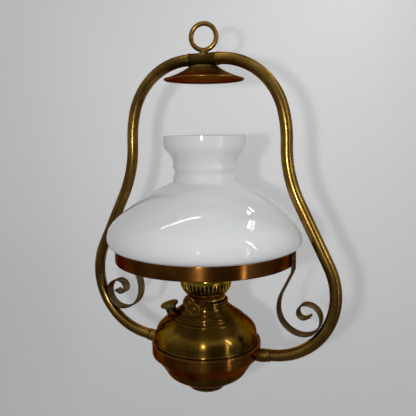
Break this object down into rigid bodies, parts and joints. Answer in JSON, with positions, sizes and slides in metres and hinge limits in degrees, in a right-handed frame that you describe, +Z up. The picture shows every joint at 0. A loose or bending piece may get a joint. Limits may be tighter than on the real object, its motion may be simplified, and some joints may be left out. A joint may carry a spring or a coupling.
{
  "type": "hanging oil lamp",
  "caption": "Hanging brass oil lamp: bent tube harp with scroll brackets, smoke bell, white glass shade on a ring, slotted burner and a domed font in a cradle.",
  "frame": {"origin": "the inside of the top of the hanging eye, where it rests on its hook", "axes": "+Z up along the lamp's axis, X across the plane of the harp, -Y to the front, where the wick knobs point"},
  "size_m": [0.3856, 0.2748, 0.5142],
  "materials": {
    "tube_brass": "aged, olive gold",
    "bell_brass": "dull, aged",
    "copper_brass": "brushed, copper brown",
    "bronze": "dark brown",
    "font_brass": "polished, aged",
    "bright_brass": "bright",
    "knob_brass": "dark, worn",
    "opal_glass": "glossy white opal",
    "clear_glass": "clear",
    "cotton": "woven",
    "leather": "matt"
  },
  "bodies": {
    "frame": {"hanging_eye": "tube_brass", "top_sleeve": "tube_brass", "harp_tube_left": "tube_brass", "harp_tube_right": "tube_brass", "ferrule_left": "tube_brass", "ferrule_right": "tube_brass", "smoke_bell": "bell_brass", "bell_nut": "tube_brass", "font_cradle": "copper_brass", "shade_ring": "copper_brass", "scroll_bracket_left": "bronze", "scroll_bracket_right": "bronze", "bracket_rivet_left": "bronze", "bracket_rivet_right": "bronze"},
    "shade_body": {"shade": "opal_glass"},
    "font": {"font_upper_shell": "font_brass", "font_lower_bowl": "font_brass", "font_foot": "font_brass", "font_collar": "font_brass", "filler_neck": "font_brass"},
    "cap": {"filler_cap": "font_brass", "filler_washer": "leather"},
    "burner": {"burner_base": "bright_brass", "winder_housing": "knob_brass", "burner_basket": "bright_brass", "burner_gallery": "bright_brass", "flame_cone": "bright_brass", "wick_tube_left": "bright_brass", "wick_tube_right": "bright_brass"},
    "chimney_body": {"chimney": "clear_glass"},
    "winder_left": {"wick_spindle_left": "bright_brass", "wick_knob_left": "knob_brass"},
    "winder_right": {"wick_spindle_right": "bright_brass", "wick_knob_right": "knob_brass"},
    "wick_left_body": {"wick_left": "cotton"},
    "wick_right_body": {"wick_right": "cotton"}
  },
  "joints": [
    {"name": "shade_lift", "type": "slide", "parent": "frame", "child": "shade_body", "axis": [0, 0, 1], "range_m": [0, 0.012]},
    {"name": "font_lift", "type": "slide", "parent": "frame", "child": "font", "axis": [0, 0, 1], "range_m": [0, 0.045]},
    {"name": "cap_off", "type": "slide", "parent": "font", "child": "cap", "axis": [-0.2691, -0.1142, 0.9563], "range_m": [0, 0.015]},
    {"name": "burner_turn", "type": "hinge", "parent": "font", "child": "burner", "pos_m": [0, 0, -0.37579], "axis": [0, 0, 1], "range_deg": [0, 30]},
    {"name": "chimney_lift", "type": "slide", "parent": "burner", "child": "chimney_body", "axis": [0, 0, 1], "range_m": [0, 0.03]},
    {"name": "winder_left_turn", "type": "hinge", "parent": "burner", "child": "winder_left", "pos_m": [-0.007, -0.0377, -0.37402], "axis": [0, -0.9925, -0.1219], "range_deg": [-90, 180]},
    {"name": "winder_right_turn", "type": "hinge", "parent": "burner", "child": "winder_right", "pos_m": [0.007, -0.0527, -0.37586], "axis": [0, 0.9925, 0.1219], "range_deg": [-90, 180]},
    {"name": "wick_left_rise", "type": "slide", "parent": "burner", "child": "wick_left_body", "axis": [0, 0, 1], "range_m": [-0.00393, 0.00785]},
    {"name": "wick_right_rise", "type": "slide", "parent": "burner", "child": "wick_right_body", "axis": [0, 0, 1], "range_m": [-0.00393, 0.00785]}
  ],
  "couplings": [
    {"joint": "wick_left_rise", "follows": "winder_left_turn", "m_per_rad": 0.0025},
    {"joint": "wick_right_rise", "follows": "winder_right_turn", "m_per_rad": 0.0025}
  ]
}
